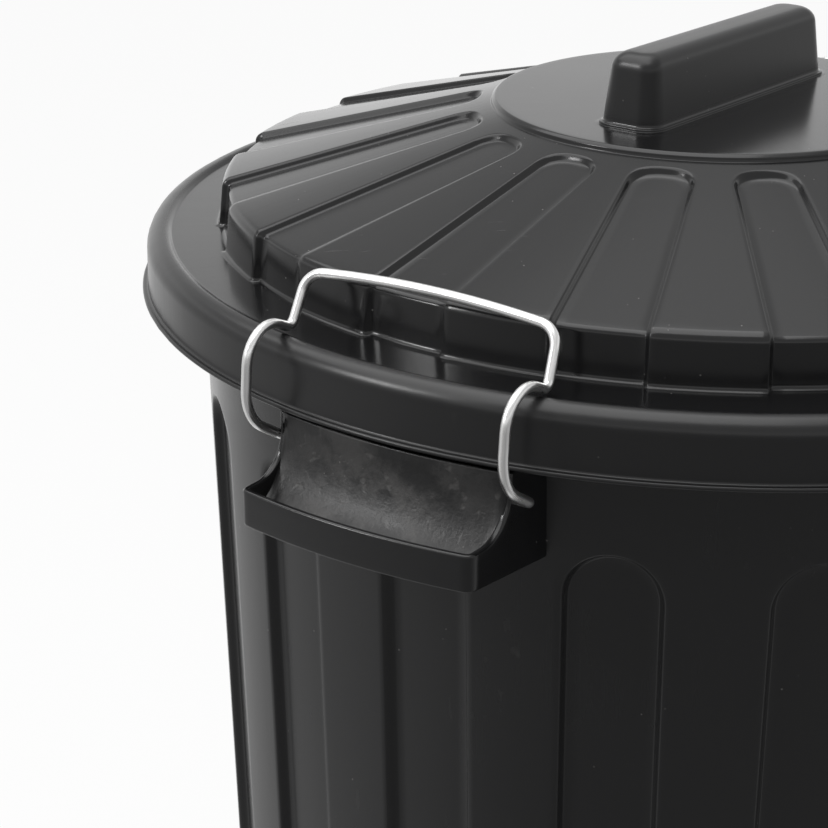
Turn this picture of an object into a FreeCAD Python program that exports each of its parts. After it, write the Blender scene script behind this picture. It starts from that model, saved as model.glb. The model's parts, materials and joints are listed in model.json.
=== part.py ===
"""Round lidded storage bin: a fluted tub with two side grips, a fluted lid and two wire clips.

Millimetres, +Z up. The origin is on the floor under the middle of the tub, and the grips and
clips lie on the X axis.
"""
import FreeCAD
import Part
import Sketcher
import math
import os

from FreeCAD import Placement, Rotation, Vector

SIZES = [
    # shared by both mouldings
    ("wall", 2.5),
    ("cut_overrun", 20.0),
    # tub
    ("tub_height", 580.0),
    ("tub_top_radius", 233.2),
    ("tub_flare", 16.0),
    ("tub_base_round", 3.0),
    ("tub_floor_lift", 6.0),
    ("tub_foot_width", 8.0),
    ("tub_rim_reach", 15.8),
    ("tub_rim_turn_down", 12.0),
    ("tub_flute_count", 18),
    ("tub_flute_width", 37.0),
    ("tub_flute_depth", 4.5),
    ("tub_flute_flare", 20.0),
    ("tub_flute_top_drop", 65.0),
    ("tub_flute_base_rise", 45.0),
    # side grips
    ("grip_reach", 48.8),
    ("grip_width", 108.0),
    ("grip_lid_gap", 2.1),
    ("grip_shoulder_reach", 17.8),
    ("grip_sweep_radius", 17.0),
    ("grip_lip_drop", 24.2),
    ("grip_lip_height", 15.2),
    ("grip_bottom_fall", 5.0),
    ("grip_scoop_radius", 18.0),
    # lid
    ("lid_seat_gap", 0.3),
    ("lid_rim_clearance", 5.7),
    ("lid_turn", 3.8),
    ("lid_lip_reach", 2.5),
    ("lid_lip_height", 2.0),
    ("lid_skirt_drop", 24.7),
    ("lid_skirt_draft", 0.3),
    ("lid_bead_width", 13.0),
    ("lid_bead_rise", 1.8),
    ("lid_bead_round", 8.0),
    ("lid_gutter_width", 19.6),
    ("lid_dome_draft", 2.0),
    ("lid_dome_wall", 21.4),
    ("lid_shoulder_round", 6.0),
    ("lid_cone_angle", 14.7),
    ("lid_disc_radius", 101.0),
    ("lid_disc_rise", 3.0),
    ("lid_disc_round", 2.6),
    ("lid_flute_count", 17),
    ("lid_flute_depth", 2.0),
    ("lid_flute_wall_depth", 3.0),
    ("lid_flute_tip_gap", 7.5),
    ("lid_flute_corner", 8.5),
    ("lid_flute_inner_width", 26.0),
    ("lid_flute_outer_width", 37.0),
    # lid handle
    ("handle_end_gap", 25.5),
    ("handle_foot_width", 32.5),
    ("handle_foot_height", 1.5),
    ("handle_end_step", 1.3),
    ("handle_side_step", 1.3),
    ("handle_height", 31.4),
    ("handle_taper", 6.0),
    ("handle_corner_round", 9.0),
    ("handle_top_round", 7.0),
    # wire clips
    ("wire_diameter", 3.7),
    ("pin_clearance", 0.1),
    ("pin_reach", 2.0),
    ("pivot_reach", 11.3),
    ("pivot_drop", 13.3),
    ("clip_side_gap", 5.3),
    ("clip_crossbar_inset", 1.5),
    ("clip_elbow_gap", 5.8),
    ("clip_elbow_rise", 13.3),
    ("clip_elbow_bend", 18.0),
    ("clip_crown_gap", 2.0),
    ("clip_crown_rise", 13.9),
    ("clip_crown_bend", 13.0),
    ("clip_foot_inset", 8.5),
    ("clip_foot_lift", 3.9),
    ("clip_foot_bend", 4.5),
    ("clip_corner_gap", 1.8),
    ("clip_corner_rise", 1.8),
    ("clip_corner_bend", 9.0),
    ("clip_middle_gap", 0.6),
    ("clip_middle_rise", 6.8),
    ("clip_middle_bend", 520.0),
    ("clip_pin_bend", 3.7),
]

document = FreeCAD.newDocument("lidded_bin")
sheet = document.addObject("Spreadsheet::Sheet", "Sizes")


class Size:
    """A length, angle or count: its number, and the expression of sheet cells that gives it."""

    def __init__(self, value, text):
        self.value = value
        self.text = text

    def _join(self, sign, other, value):
        return Size(value, f"({self.text} {sign} {other.text})")

    def __add__(self, other):
        return self._join("+", other, self.value + other.value)

    def __sub__(self, other):
        return self._join("-", other, self.value - other.value)

    def __mul__(self, share):
        return Size(self.value * share, f"({self.text} * {share})")

    def __truediv__(self, share):
        return Size(self.value / share, f"({self.text} / {share})")

    def __neg__(self):
        return Size(-self.value, f"(-{self.text})")

    def times(self, other):
        return self._join("*", other, self.value * other.value)

    def over(self, other):
        return self._join("/", other, self.value / other.value)


def tangent(angle):
    return Size(math.tan(math.radians(angle.value)), f"tan({angle.text})")


def sine(angle):
    return Size(math.sin(math.radians(angle.value)), f"sin({angle.text})")


def cosine(angle):
    return Size(math.cos(math.radians(angle.value)), f"cos({angle.text})")


def slope_angle(rise, run):
    """The slope in plain degrees, as the angles in the sheet are."""
    angle = math.degrees(math.atan2(rise.value, run.value))
    return Size(angle, f"(atan({rise.text} / {run.text}) / 1 deg)")


ZERO = Size(0.0, "0")
RIGHT_ANGLE = Size(90.0, "90")
for row, (alias, number) in enumerate(SIZES, start=1):
    sheet.set(f"A{row}", alias)
    sheet.set(f"B{row}", str(number))
    sheet.setAlias(f"B{row}", alias)
document.recompute()
size = {alias: Size(float(sheet.get(alias)), f"Sizes.{alias}") for alias, _ in SIZES}

wall = size["wall"]
overrun = size["cut_overrun"]

# Levels and radii that the pieces share: the lid fits over the tub's rim, and grips and clips follow both.
rim_level = size["tub_height"]
base_radius = size["tub_top_radius"] - size["tub_flare"]
rim_radius = size["tub_top_radius"] + size["tub_rim_reach"]
skirt_inside = rim_radius + size["lid_rim_clearance"]
bead_radius = skirt_inside + wall
skirt_radius = bead_radius + size["lid_skirt_draft"]
lip_radius = skirt_radius + size["lid_lip_reach"]
bead_inside = bead_radius - size["lid_bead_width"]
gutter_width = size["lid_gutter_width"]
dome_radius = bead_inside - gutter_width
shoulder_radius = dome_radius - size["lid_dome_draft"]
disc_radius = size["lid_disc_radius"]
lid_seat = rim_level + size["lid_seat_gap"]
gutter = lid_seat + wall
bead_top = gutter + size["lid_bead_rise"]
lid_base = gutter - size["lid_skirt_drop"]
lid_ledge = lid_base + size["lid_lip_height"]
shoulder_level = gutter + size["lid_dome_wall"]
cone_slope = tangent(size["lid_cone_angle"])
cone_cosine = cosine(size["lid_cone_angle"])
disc_base = shoulder_level + (shoulder_radius - disc_radius).times(cone_slope)
disc_top = disc_base + size["lid_disc_rise"]
grip_top = lid_base - size["grip_lid_gap"]
grip_radius = size["tub_top_radius"] + size["grip_reach"]
shoulder_reach = size["tub_top_radius"] + size["grip_shoulder_reach"]
pivot_reach = size["tub_top_radius"] + size["pivot_reach"]
pivot_level = grip_top - size["pivot_drop"]


def bind(thing, **properties):
    """Ties properties to sizes, so that they follow the sheet."""
    for name, length in properties.items():
        thing.setExpression(name.replace("__", "."), length.text)


def plane_of(body, role):
    return next(item for item in body.Origin.OriginFeatures if item.Role == role)


def new_body(name):
    return document.addObject("PartDesign::Body", name)


def draw(body, name, role, outline, lift=None, tilt_axis=None, tilt=None):
    """Draws a closed outline on a plane of the body.

    Each entry of the outline is a corner (x, y), or (x, y, radius, centre_x, centre_y) where an
    arc leads to that corner. The plane can be lifted along its normal and tilted about an axis.
    """
    sketch = body.newObject("Sketcher::SketchObject", name)
    sketch.AttachmentSupport = [(plane_of(body, role), "")]
    sketch.MapMode = "FlatFace"
    if tilt_axis is not None:
        sketch.AttachmentOffset = Placement(Vector(), Rotation(tilt_axis, tilt.value))
        bind(sketch, AttachmentOffset__Rotation__Angle=tilt)
    if lift is not None:
        bind(sketch, AttachmentOffset__Base__z=lift)

    ends = [Vector(corner[0].value, corner[1].value, 0) for corner in outline]
    starts = [ends[-1]] + ends[:-1]
    arrivals = []
    departures = []
    for index, corner in enumerate(outline):
        start, end = starts[index], ends[index]
        if len(corner) == 2:
            sketch.addGeometry(Part.LineSegment(start, end), False)
            departures.append(1)
            arrivals.append(2)
            continue
        centre = Vector(corner[3].value, corner[4].value, 0)
        halfway = (start + end) * 0.5 - centre
        middle = centre + halfway.normalize() * corner[2].value
        turns_left = (start - centre).cross(end - centre).z > 0
        first, last = (start, end) if turns_left else (end, start)
        sketch.addGeometry(Part.Arc(first, middle, last), False)
        departures.append(1 if turns_left else 2)
        arrivals.append(2 if turns_left else 1)

    count = len(outline)
    for index in range(count):
        following = (index + 1) % count
        sketch.addConstraint(Sketcher.Constraint(
            "Coincident", index, arrivals[index], following, departures[following]))
    for index, corner in enumerate(outline):
        for kind, axis, length in (("DistanceX", -2, corner[0]), ("DistanceY", -1, corner[1])):
            point = arrivals[index]
            if length is ZERO:
                sketch.addConstraint(Sketcher.Constraint("PointOnObject", index, point, axis))
                continue
            label = f"{kind}_{index}"
            number = sketch.addConstraint(Sketcher.Constraint(kind, index, point, length.value))
            sketch.renameConstraint(number, label)
            sketch.setExpression(f"Constraints.{label}", length.text)
        if len(corner) > 2:
            label = f"Radius_{index}"
            number = sketch.addConstraint(Sketcher.Constraint("Radius", index, corner[2].value))
            sketch.renameConstraint(number, label)
            sketch.setExpression(f"Constraints.{label}", corner[2].text)
    document.recompute()
    return sketch


def revolve(body, name, sketch):
    feature = body.newObject("PartDesign::Revolution", name)
    feature.Profile = sketch
    feature.ReferenceAxis = (sketch, ["V_Axis"])
    feature.Angle = 360.0
    document.recompute()
    return feature


def pad(body, name, sketch, length, midplane=False, taper=None, backwards=False):
    feature = body.newObject("PartDesign::Pad", name)
    feature.Profile = sketch
    feature.Midplane = midplane
    feature.Reversed = backwards
    bind(feature, Length=length)
    if taper is not None:
        bind(feature, TaperAngle=taper)
    document.recompute()
    return feature


def round_edges(body, name, radius, chosen):
    """Rounds the edges of the body for which chosen(edge) holds."""
    base = body.Tip
    names = [f"Edge{number}" for number, edge in enumerate(base.Shape.Edges, start=1) if chosen(edge)]
    if not names:
        raise RuntimeError(f"{name} finds no edge")
    feature = body.newObject("PartDesign::Fillet", name)
    feature.Base = (base, names)
    bind(feature, Radius=radius)
    document.recompute()
    return feature


def repeat_round(body, feature, count):
    """Repeats a feature of the body evenly about the Z axis."""
    body.AllowCompound = True
    pattern = body.newObject("PartDesign::PolarPattern", body.Name + "_ring")
    pattern.Originals = [feature]
    pattern.Axis = (plane_of(body, "Z_Axis"), [""])
    pattern.Angle = 360.0
    bind(pattern, Occurrences=count)
    body.Tip = pattern
    document.recompute()
    if len(body.Shape.Solids) != int(count.value):
        raise RuntimeError(f"{body.Name} has {len(body.Shape.Solids)} copies")


def boolean(kind, name, base, tool):
    result = document.addObject(f"Part::{kind}", name)
    result.Base = base
    result.Tool = tool
    document.recompute()
    if kind == "Cut" and result.Shape.Volume >= base.Shape.Volume:
        raise RuntimeError(f"{name} cuts nothing")
    return result


def cylinder(name, radius, height):
    result = document.addObject("Part::Cylinder", name)
    bind(result, Radius=radius, Height=height)
    return result


# Tub: a drafted wall with a turned-down rim, fluted all round, on a low foot ring.
tub_draft = slope_angle(size["tub_flare"], rim_level)
tub_floor_top = size["tub_floor_lift"] + wall


def tub_radius(level):
    return base_radius + size["tub_flare"].times(level).over(rim_level)


def cut_tub_flutes(name, base, inset):
    """Cuts arched flutes whose flat floors lean with the wall, from their floors outwards."""
    half_width = size["tub_flute_width"] / 2 + inset
    floor = base_radius - size["tub_flute_depth"] - inset
    top = rim_level - size["tub_flute_top_drop"] + inset
    bottom = size["tub_flute_base_rise"] - inset
    upper = top - half_width
    lower = bottom + half_width
    flutes = new_body(name + "_flutes")
    sketch = draw(flutes, name + "_flute_outline", "YZ_Plane", [
        (-half_width, lower),
        (ZERO, bottom, half_width, ZERO, lower),
        (half_width, lower, half_width, ZERO, lower),
        (half_width, upper),
        (ZERO, top, half_width, ZERO, upper),
        (-half_width, upper, half_width, ZERO, upper),
    ], lift=floor, tilt_axis=Vector(1, 0, 0), tilt=tub_draft)
    flute = pad(flutes, name + "_flute", sketch, overrun, taper=size["tub_flute_flare"])
    repeat_round(flutes, flute, size["tub_flute_count"])
    return boolean("Cut", name, base, flutes)


tub_outside = new_body("tub_outside")
rim_underside = rim_level - wall
rim_inside = rim_radius - wall
rim_edge = rim_level - size["tub_rim_turn_down"]
foot_inside = base_radius - size["tub_foot_width"]
base_round = size["tub_base_round"]
base_edge = tub_radius(base_round)
revolve(tub_outside, "tub_block", draw(tub_outside, "tub_outline", "XZ_Plane", [
    (ZERO, size["tub_floor_lift"]),
    (foot_inside, size["tub_floor_lift"]),
    (foot_inside, ZERO),
    (base_edge - base_round, ZERO),
    (base_edge, base_round, base_round, base_edge - base_round, base_round),
    (tub_radius(rim_underside), rim_underside),
    (rim_inside, rim_underside),
    (rim_inside, rim_edge),
    (rim_radius, rim_edge),
    (rim_radius, rim_level),
    (ZERO, rim_level),
]))
fluted_tub = cut_tub_flutes("fluted_tub", tub_outside, ZERO)

tub_inside = new_body("tub_inside")
above_rim = rim_level + overrun
revolve(tub_inside, "tub_hollow", draw(tub_inside, "tub_hollow_outline", "XZ_Plane", [
    (ZERO, tub_floor_top),
    (tub_radius(tub_floor_top) - wall, tub_floor_top),
    (tub_radius(above_rim) - wall, above_rim),
    (ZERO, above_rim),
]))
fluted_hollow = cut_tub_flutes("fluted_hollow", tub_inside, wall)

# Side grip: two cheeks and a curved lip round a pocket that is scooped out of a block, hollow underneath.
lip_top = grip_top - size["grip_lip_drop"]
lip_bottom = lip_top - size["grip_lip_height"]
grip_bottom = lip_bottom - size["grip_bottom_fall"]
grip_root = base_radius
grip_beyond = grip_radius + overrun
pocket_floor = lip_bottom + wall
sweep = size["grip_sweep_radius"]
sweep_reach = shoulder_reach + sweep

grip_block = new_body("grip_block")
pad(grip_block, "grip_cheeks", draw(grip_block, "grip_side", "XZ_Plane", [
    (-grip_root, grip_top),
    (-grip_root, grip_bottom),
    (-grip_radius, lip_bottom),
    (-grip_beyond, lip_bottom),
    (-grip_beyond, lip_top),
    (-sweep_reach, lip_top),
    (-shoulder_reach, lip_top + sweep, sweep, -sweep_reach, lip_top + sweep),
    (-shoulder_reach, grip_top),
]), size["grip_width"], midplane=True)
grip_reach = cylinder("grip_reach", grip_radius, rim_level)
grip_outside = boolean("Common", "grip_outside", grip_block, grip_reach)

scoop = size["grip_scoop_radius"]
scoop_top = pocket_floor + scoop
scoop_back = shoulder_reach
scoop_middle = scoop_back + scoop
pocket_width = size["grip_width"] - wall * 2
grip_pocket = new_body("grip_pocket")
pad(grip_pocket, "grip_scoop", draw(grip_pocket, "grip_scoop_side", "XZ_Plane", [
    (-scoop_back, grip_top + overrun),
    (-scoop_back, scoop_top),
    (-scoop_middle, pocket_floor, scoop, -scoop_middle, scoop_top),
    (-grip_beyond, pocket_floor),
    (-grip_beyond, grip_top + overrun),
]), pocket_width, midplane=True)
pocket_reach = cylinder("pocket_reach", grip_radius - wall, above_rim)
grip_inside = boolean("Common", "grip_inside", grip_pocket, pocket_reach)

# The hollow behind and under the pocket leaves one wall round it and above it.
under_scoop = scoop + wall
hollow_front = scoop_back - wall
hollow_top = grip_top - wall
grip_hollow = new_body("grip_hollow")
pad(grip_hollow, "grip_underside", draw(grip_hollow, "grip_underside_side", "XZ_Plane", [
    (-hollow_front, scoop_top, under_scoop, -scoop_middle, scoop_top),
    (-hollow_front, hollow_top),
    (-grip_root, hollow_top),
    (-grip_root, grip_bottom - overrun),
    (-scoop_middle, grip_bottom - overrun),
    (-scoop_middle, lip_bottom),
]), pocket_width, midplane=True)
grip_scooped = boolean("Cut", "grip_scooped", grip_outside, grip_inside)
grip_hollowed = boolean("Cut", "grip_hollowed", grip_scooped, grip_hollow)

# One bore through both cheeks takes the two ends of a clip.
pin_radius = size["wire_diameter"] / 2
pin_bore_length = size["grip_width"] + overrun
pin_bore = cylinder("pin_bore", pin_radius + size["pin_clearance"], pin_bore_length)
pin_bore.Placement = Placement(Vector(), Rotation(Vector(-1, 0, 0), 90))
bind(pin_bore, Placement__Base__x=-pivot_reach, Placement__Base__y=-pin_bore_length / 2,
     Placement__Base__z=pivot_level)
left_grip = boolean("Cut", "left_grip", grip_hollowed, pin_bore)
right_grip = document.addObject("Part::Mirroring", "right_grip")
right_grip.Source = left_grip
right_grip.Normal = Vector(1, 0, 0)
document.recompute()

tub_left = boolean("Fuse", "tub_left", fluted_tub, left_grip)
tub_both = boolean("Fuse", "tub_both", tub_left, right_grip)
tub = boolean("Cut", "tub", tub_both, fluted_hollow)

# Lid: skirt with an out-turned lip, bead, gutter, fluted dome, centre disc and block handle.
def cut_lid_flutes(name, base, inset):
    """Cuts radial flutes: slots down the cone, with rounded inner ends, then recesses in the dome wall."""
    half_inner = size["lid_flute_inner_width"] / 2 + inset
    half_outer = size["lid_flute_outer_width"] / 2 + inset
    corner = size["lid_flute_corner"] + inset
    half_tip = half_inner - corner
    tip = (disc_radius + size["lid_flute_tip_gap"] - inset).over(cone_cosine)
    inner_end = tip + corner
    outer_end = (dome_radius + gutter_width / 2).over(cone_cosine)
    apex = disc_base + disc_radius.times(cone_slope)
    floor = apex - (size["lid_flute_depth"] + inset).over(cone_cosine)
    slots = new_body(name + "_slots")
    slot_sketch = draw(slots, name + "_slot_outline", "XY_Plane", [
        (-outer_end, half_outer),
        (-outer_end, -half_outer),
        (-inner_end, -half_inner),
        (-tip, -half_tip, corner, -inner_end, -half_tip),
        (-tip, half_tip),
        (-inner_end, half_inner, corner, -inner_end, half_tip),
    ], lift=floor, tilt_axis=Vector(0, -1, 0), tilt=size["lid_cone_angle"])
    repeat_round(slots, pad(slots, name + "_slot", slot_sketch, overrun), size["lid_flute_count"])

    recess = dome_radius - size["lid_flute_wall_depth"] - inset
    recesses = new_body(name + "_recesses")
    recess_sketch = draw(recesses, name + "_recess_outline", "YZ_Plane", [
        (-half_outer, gutter - inset),
        (half_outer, gutter - inset),
        (half_outer, shoulder_level + overrun),
        (-half_outer, shoulder_level + overrun),
    ], lift=-recess)
    recess_length = size["lid_flute_wall_depth"] + inset + gutter_width / 2
    dent = pad(recesses, name + "_recess", recess_sketch, recess_length, backwards=True)
    repeat_round(recesses, dent, size["lid_flute_count"])
    slotted = boolean("Cut", name + "_slotted", base, slots)
    return boolean("Cut", name, slotted, recesses)


def rectangle(length, width):
    return [
        (-length / 2, -width / 2),
        (length / 2, -width / 2),
        (length / 2, width / 2),
        (-length / 2, width / 2),
    ]


def between(low, high):
    """Picks the straight edges that run from one level to another."""
    def chosen(edge):
        box = edge.BoundBox
        near = wall.value / 100
        starts_low = math.isclose(box.ZMin, low.value, abs_tol=near)
        return starts_low and math.isclose(box.ZMax, high.value, abs_tol=near) and len(edge.Vertexes) == 2
    return chosen


bead_round = size["lid_bead_round"]
bead_middle = bead_radius - bead_round
bead_foot = bead_top - bead_round
disc_round = size["lid_disc_round"]
disc_flat = disc_radius - disc_round
disc_edge = disc_top - disc_round
shoulder_round = size["lid_shoulder_round"]
dome_lean = slope_angle(size["lid_dome_draft"], size["lid_dome_wall"])
shoulder_run = shoulder_round.over(tangent((RIGHT_ANGLE + dome_lean + size["lid_cone_angle"]) / 2))
wall_end = shoulder_radius + shoulder_run.times(sine(dome_lean))
wall_end_level = shoulder_level - shoulder_run.times(cosine(dome_lean))
cone_start = shoulder_radius - shoulder_run.times(cone_cosine)
cone_start_level = shoulder_level + shoulder_run.times(sine(size["lid_cone_angle"]))
round_middle = wall_end - shoulder_round.times(cosine(dome_lean))
round_middle_level = wall_end_level - shoulder_round.times(sine(dome_lean))
lid_outside = new_body("lid_outside")
revolve(lid_outside, "lid_block", draw(lid_outside, "lid_outline", "XZ_Plane", [
    (ZERO, lid_base),
    (lip_radius, lid_base),
    (lip_radius, lid_ledge),
    (skirt_radius, lid_ledge),
    (bead_radius, bead_foot),
    (bead_middle, bead_top, bead_round, bead_middle, bead_foot),
    (bead_inside, bead_top),
    (bead_inside, gutter),
    (dome_radius, gutter),
    (wall_end, wall_end_level),
    (cone_start, cone_start_level, shoulder_round, round_middle, round_middle_level),
    (disc_radius, disc_base),
    (disc_radius, disc_edge),
    (disc_flat, disc_top, disc_round, disc_flat, disc_edge),
    (ZERO, disc_top),
]))
fluted_lid = cut_lid_flutes("fluted_lid", lid_outside, ZERO)

foot_base = disc_top - wall
foot_top = disc_top + size["handle_foot_height"]
handle_top = disc_top + size["handle_height"]
foot_length = (disc_radius - size["handle_end_gap"]) * 2
foot_width = size["handle_foot_width"]
handle_length = foot_length - size["handle_end_step"] * 2
handle_width = foot_width - size["handle_side_step"] * 2
handle = new_body("handle")
pad(handle, "handle_foot", draw(
    handle, "handle_foot_outline", "XY_Plane", rectangle(foot_length, foot_width), lift=foot_base),
    foot_top - foot_base)
pad(handle, "handle_block", draw(
    handle, "handle_outline", "XY_Plane", rectangle(handle_length, handle_width), lift=foot_top),
    handle_top - foot_top, taper=-size["handle_taper"])
round_edges(handle, "handle_corners", size["handle_corner_round"], between(foot_top, handle_top))
round_edges(handle, "handle_foot_corners", size["handle_corner_round"], between(foot_base, foot_top))
round_edges(handle, "handle_top_edge", size["handle_top_round"], between(handle_top, handle_top))
lid_upper = boolean("Fuse", "lid_upper", fluted_lid, handle)

# Inside of the lid: the outside set in by one wall, with the handle hollow from below.
lid_inside = new_body("lid_inside")
bead_hollow = bead_inside + wall
inner_shoulder = shoulder_radius - wall
inner_cone_drop = wall.over(cone_cosine)
inner_shoulder_level = disc_base - inner_cone_drop - (inner_shoulder - disc_radius).times(cone_slope)
inner_disc = disc_radius - wall
revolve(lid_inside, "lid_hollow", draw(lid_inside, "lid_hollow_outline", "XZ_Plane", [
    (ZERO, lid_base - overrun),
    (skirt_inside, lid_base - overrun),
    (skirt_inside, bead_top - wall),
    (bead_hollow, bead_top - wall),
    (bead_hollow, lid_seat),
    (dome_radius - wall, lid_seat),
    (inner_shoulder, inner_shoulder_level),
    (inner_disc, disc_base - inner_cone_drop + wall.times(cone_slope)),
    (inner_disc, disc_top - wall),
    (ZERO, disc_top - wall),
]))
fluted_lid_hollow = cut_lid_flutes("fluted_lid_hollow", lid_inside, wall)
handle_inside = new_body("handle_inside")
pad(handle_inside, "handle_hollow", draw(
    handle_inside, "handle_hollow_outline", "XY_Plane",
    rectangle(handle_length - wall * 2, handle_width - wall * 2), lift=foot_base - wall),
    size["handle_height"] + wall, taper=-size["handle_taper"])

lid_shell = boolean("Cut", "lid_shell", lid_upper, fluted_lid_hollow)
lid = boolean("Cut", "lid", lid_shell, handle_inside)
lid.Placement = Placement(Vector(), Rotation(Vector(0, 0, -1), size["lid_turn"].value))
bind(lid, Placement__Rotation__Angle=size["lid_turn"])


def bent_path(corners):
    """Joins corners (point, bend radius) by straight runs with tangent arcs."""
    edges = []
    reached = corners[0][0]
    for (before, _), (corner, bend), (after, _) in zip(corners, corners[1:], corners[2:]):
        back = (before - corner).normalize()
        ahead = (after - corner).normalize()
        half_angle = back.getAngle(ahead) / 2
        run_in = corner + back * (bend / math.tan(half_angle))
        run_out = corner + ahead * (bend / math.tan(half_angle))
        inward = (back + ahead).normalize()
        middle = corner + inward * (bend / math.sin(half_angle) - bend)
        edges.append(Part.LineSegment(reached, run_in).toShape())
        edges.append(Part.Arc(run_in, middle, run_out).toShape())
        reached = run_out
    edges.append(Part.LineSegment(reached, corners[-1][0]).toShape())
    return Part.Wire(edges)


def clip_shape():
    """One bent wire: pin, arm round the skirt, leg in the gutter and half the crossbar, then mirrored."""
    pin_end = size["grip_width"] / 2 - wall - size["pin_reach"]
    arm = size["grip_width"] / 2 + size["clip_side_gap"]
    corner = arm - size["clip_crossbar_inset"]
    bends = [
        (pivot_reach, pin_end, pivot_level, ZERO),
        (pivot_reach, arm, pivot_level, size["clip_pin_bend"]),
        (lip_radius + size["clip_elbow_gap"], arm, pivot_level + size["clip_elbow_rise"],
         size["clip_elbow_bend"]),
        (lip_radius + size["clip_crown_gap"], arm, bead_top + size["clip_crown_rise"],
         size["clip_crown_bend"]),
        (bead_inside - size["clip_foot_inset"], arm, gutter + size["clip_foot_lift"], size["clip_foot_bend"]),
        (dome_radius + size["clip_corner_gap"], corner, shoulder_level + size["clip_corner_rise"],
         size["clip_corner_bend"]),
        (dome_radius + size["clip_middle_gap"], ZERO, shoulder_level + size["clip_middle_rise"],
         size["clip_middle_bend"]),
    ]
    half = [(Vector(-reach.value, side.value, level.value), bend.value) for reach, side, level, bend in bends]
    other_half = [(Vector(point.x, -point.y, point.z), bend) for point, bend in reversed(half[:-1])]
    path = bent_path(half + other_half)
    radius = size["wire_diameter"].value / 2
    section = Part.Wire(Part.makeCircle(radius, half[0][0], Vector(0, 1, 0)))
    wire = path.makePipeShell([section], True, False)
    expected = math.pi * radius ** 2 * path.Length
    print(f"clip wire {path.Length:.1f} long, volume {wire.Volume:.1f} of {expected:.1f}")
    return wire


left_clip = document.addObject("Part::Feature", "left_clip")
left_clip.Shape = clip_shape()
right_clip = document.addObject("Part::Feature", "right_clip")
right_clip.Shape = left_clip.Shape
right_clip.Placement = Placement(Vector(), Rotation(Vector(0, 0, 1), 180))

pieces = [tub, lid, left_clip, right_clip]
for piece in pieces:
    piece.Label = piece.Name
document.recompute()

for item in document.Objects:
    if "Invalid" in item.State or "Error" in item.State:
        raise RuntimeError(f"{item.Name} failed: {item.State}")
for piece in pieces:
    shape = piece.Shape
    if shape.isNull() or not shape.isValid() or len(shape.Solids) != 1:
        raise RuntimeError(f"{piece.Label} is not one sound solid")

os.makedirs("parts", exist_ok=True)
for piece in pieces:
    piece.Shape.exportStep(f"parts/{piece.Label}.step")
    box = piece.Shape.BoundBox
    print(f"{piece.Label}: {piece.Shape.Volume / 1000:.1f} cm3, "
          f"x {box.XMin:.1f} {box.XMax:.1f}, y {box.YMin:.1f} {box.YMax:.1f}, z {box.ZMin:.1f} {box.ZMax:.1f}")
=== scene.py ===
"""Looks of a round black lidded bin: fluted tub, side grips, fluted lid with a block handle, wire clips.

Everything is in metres in the part's own frame: +Z up, the floor at zero, grips and clips on the X axis.
"""
import json
import math

import bmesh
import bpy
import numpy as np
from bpy.props import FloatProperty, FloatVectorProperty, IntProperty, PointerProperty
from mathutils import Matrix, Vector


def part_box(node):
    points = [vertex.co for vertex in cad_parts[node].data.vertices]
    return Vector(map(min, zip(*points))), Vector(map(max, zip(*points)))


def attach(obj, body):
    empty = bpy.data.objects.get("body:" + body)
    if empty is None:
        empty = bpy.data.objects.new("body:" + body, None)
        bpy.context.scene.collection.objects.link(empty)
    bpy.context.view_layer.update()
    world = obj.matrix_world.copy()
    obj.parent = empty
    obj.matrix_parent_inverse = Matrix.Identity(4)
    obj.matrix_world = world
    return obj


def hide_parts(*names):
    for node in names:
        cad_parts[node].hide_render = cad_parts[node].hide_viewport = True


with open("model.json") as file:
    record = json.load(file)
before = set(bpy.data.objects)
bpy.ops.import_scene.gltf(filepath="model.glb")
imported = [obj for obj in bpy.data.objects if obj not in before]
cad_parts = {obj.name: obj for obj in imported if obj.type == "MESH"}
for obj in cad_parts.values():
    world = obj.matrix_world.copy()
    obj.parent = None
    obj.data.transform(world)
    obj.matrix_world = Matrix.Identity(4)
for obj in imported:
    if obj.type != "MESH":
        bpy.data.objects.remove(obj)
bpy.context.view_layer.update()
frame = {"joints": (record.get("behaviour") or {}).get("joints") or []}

bl_info = {
    "name": "Lidded bin",
    "version": (1, 0, 0),
    "blender": (4, 5, 0),
    "location": "View3D > Sidebar > Bin",
    "description": "Builds a black plastic bin with a clip-down lid and its studio",
    "category": "Object",
}

TUB_LOW, TUB_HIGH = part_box("tub")
LID_LOW, LID_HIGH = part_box("lid")
PIVOT = next(joint["pos_m"] for joint in frame["joints"] if joint["name"] == "left_clip_swing")
MERGE_GAP = 1e-6

# Where points lie across a flute: shares of its floor, of the band of its step, and of the land beside it.
FLOOR_SHARES = np.array([0.0, 0.4, 0.75])
BAND_SHARES = np.linspace(-1.0, 1.0, 7)
LAND_SHARES = np.array([0.12, 0.4, 1.0])
STEP_RISE = (BAND_SHARES + 1) / 2
STEP_DEPTH_SHARES = 1 - STEP_RISE ** 2 * (3 - 2 * STEP_RISE)
DEPTH_SHARES = np.concatenate([np.ones(3), STEP_DEPTH_SHARES, np.zeros(3)])


def length(name, description, default):
    return FloatProperty(name=name, description=description, default=default, unit="LENGTH", precision=5)


def degrees(name, description, default):
    return FloatProperty(name=name, description=description, default=math.radians(default), subtype="ANGLE")


def colour(name, description, default):
    return FloatVectorProperty(name=name, description=description, default=default, size=3, subtype="COLOR",
                               min=0.0, max=1.0)


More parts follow.
